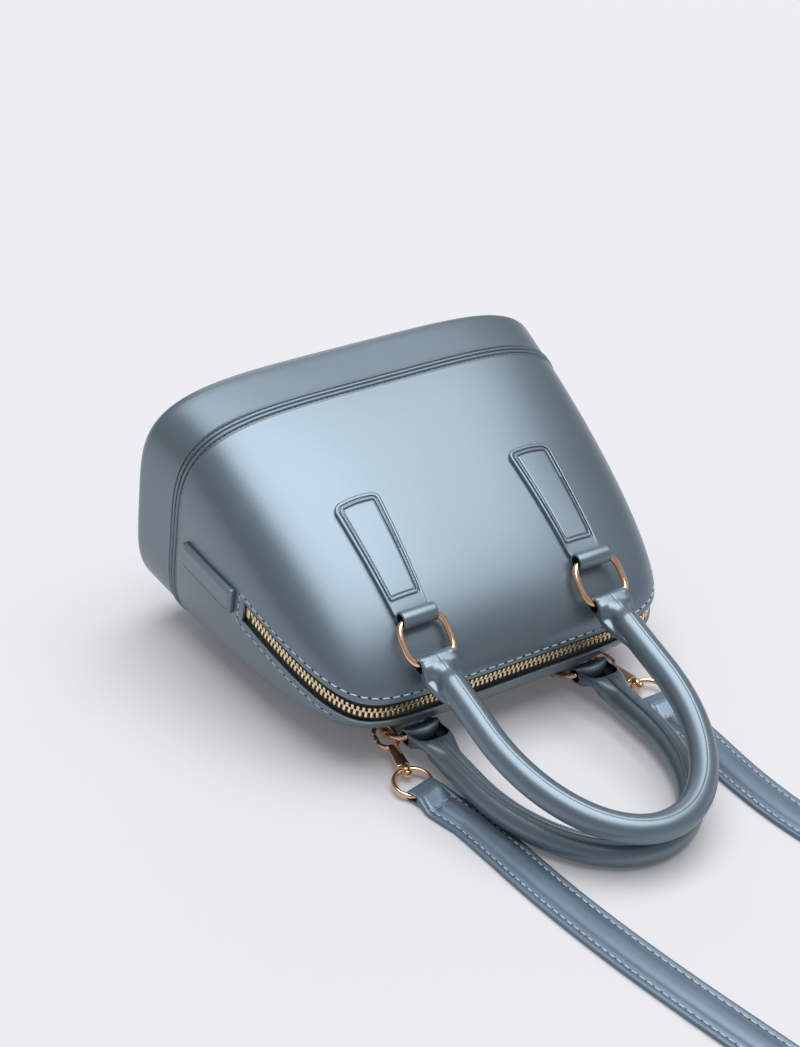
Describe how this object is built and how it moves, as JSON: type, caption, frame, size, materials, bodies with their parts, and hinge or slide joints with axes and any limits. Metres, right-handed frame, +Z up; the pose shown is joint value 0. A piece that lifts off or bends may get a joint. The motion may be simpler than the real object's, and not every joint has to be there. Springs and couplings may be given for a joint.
{
  "type": "top handle bag",
  "caption": "Moulded dome satchel on its back, with tube handles on rings, a zip over the top and a shoulder strap on clasps.",
  "frame": {"origin": "centre of the lying bag on the ground, measured without the loose strap", "axes": "+Z up from the ground, +Y towards the base of the bag, +X along its width"},
  "size_m": [0.2283, 0.5687, 0.1401],
  "materials": {
    "pearl_moulding": "pearly blue-grey moulding, satin",
    "base_board": "plain stiff board, matte",
    "zip_tape": "dark woven tape",
    "zip_metal": "brushed pale gold metal",
    "hardware": "polished rose gold metal",
    "strap_leather": "smooth pearly blue-grey leather"
  },
  "bodies": {
    "bag": {"shell": "pearl_moulding", "base_board": "base_board", "zip_tape_front": "zip_tape", "zip_tape_back": "zip_tape", "zip_teeth_front": "zip_metal", "zip_teeth_back": "zip_metal", "zip_stop_left": "zip_metal", "zip_stop_right": "zip_metal", "zip_flap_left": "pearl_moulding", "zip_flap_right": "pearl_moulding", "front_tab_left": "pearl_moulding", "front_tab_right": "pearl_moulding", "back_tab_left": "pearl_moulding", "back_tab_right": "pearl_moulding", "strap_end_left": "strap_leather", "strap_end_right": "strap_leather", "shoulder_strap": "strap_leather"},
    "zip_slider": {"zip_slider": "hardware"},
    "zip_pull": {"zip_pull": "hardware"},
    "front_rings": {"front_ring_left": "hardware", "front_ring_right": "hardware"},
    "front_handle": {"front_handle": "pearl_moulding"},
    "back_rings": {"back_ring_left": "hardware", "back_ring_right": "hardware"},
    "back_handle": {"back_handle": "pearl_moulding"},
    "clasp_left": {"clasp_left": "hardware"},
    "clasp_gate_left": {"clasp_gate_left": "hardware"},
    "swivel_ring_left": {"swivel_ring_left": "hardware"},
    "clasp_right": {"clasp_right": "hardware"},
    "clasp_gate_right": {"clasp_gate_right": "hardware"},
    "swivel_ring_right": {"swivel_ring_right": "hardware"}
  },
  "joints": [
    {"name": "front_rings_swing", "type": "hinge", "parent": "bag", "child": "front_rings", "pos_m": [0, -0.02067, 0.07418], "axis": [-1, 0, 0], "range_deg": [0, 105]},
    {"name": "front_handle_swing", "type": "hinge", "parent": "front_rings", "child": "front_handle", "pos_m": [0, -0.03658, 0.05856], "axis": [-1, 0, 0], "range_deg": [0, 45]},
    {"name": "back_rings_swing", "type": "hinge", "parent": "bag", "child": "back_rings", "pos_m": [0, -0.00439, 0.0041], "axis": [1, 0, 0], "range_deg": [0, 105], "deforming": ["shoulder_strap", "strap_end_left", "strap_end_right"]},
    {"name": "back_handle_swing", "type": "hinge", "parent": "back_rings", "child": "back_handle", "pos_m": [0, -0.02515, 0.01225], "axis": [1, 0, 0], "range_deg": [0, 45]},
    {"name": "zip_slide", "type": "slide", "parent": "bag", "child": "zip_slider", "axis": [-0.1631, -0.9381, -0.3057], "range_m": [0, 0.03]},
    {"name": "zip_pull_swing", "type": "hinge", "parent": "zip_slider", "child": "zip_pull", "pos_m": [0.1054, 0.03424, 0.05596], "axis": [0.014, 0.3076, -0.9514], "range_deg": [0, 150]},
    {"name": "clasp_left_swing", "type": "hinge", "parent": "back_rings", "child": "clasp_left", "pos_m": [-0.0602, -0.01498, 0.00825], "axis": [0, 0.9309, -0.3653], "range_deg": [0, 17]},
    {"name": "clasp_gate_left_open", "type": "hinge", "parent": "clasp_left", "child": "clasp_gate_left", "pos_m": [-0.067, -0.01824, 0.00774], "axis": [0.018, 0.1282, -0.9916], "range_deg": [0, 12], "stiffness_Nm_per_rad": 0.004},
    {"name": "swivel_left_turn", "type": "hinge", "parent": "clasp_left", "child": "swivel_ring_left", "pos_m": [-0.06487, -0.03757, 0.00528], "axis": [0.138, 0.9819, 0.1294], "range_deg": [0, 90]},
    {"name": "clasp_right_swing", "type": "hinge", "parent": "back_rings", "child": "clasp_right", "pos_m": [0.0602, -0.01498, 0.00825], "axis": [0, -0.9309, 0.3653], "range_deg": [0, 17]},
    {"name": "clasp_gate_right_open", "type": "hinge", "parent": "clasp_right", "child": "clasp_gate_right", "pos_m": [0.06732, -0.01767, 0.00774], "axis": [0.0313, -0.1256, 0.9916], "range_deg": [0, 12], "stiffness_Nm_per_rad": 0.004},
    {"name": "swivel_right_turn", "type": "hinge", "parent": "clasp_right", "child": "swivel_ring_right", "pos_m": [0.06722, -0.03711, 0.00528], "axis": [0.2399, -0.9621, -0.1294], "range_deg": [0, 90]}
  ]
}
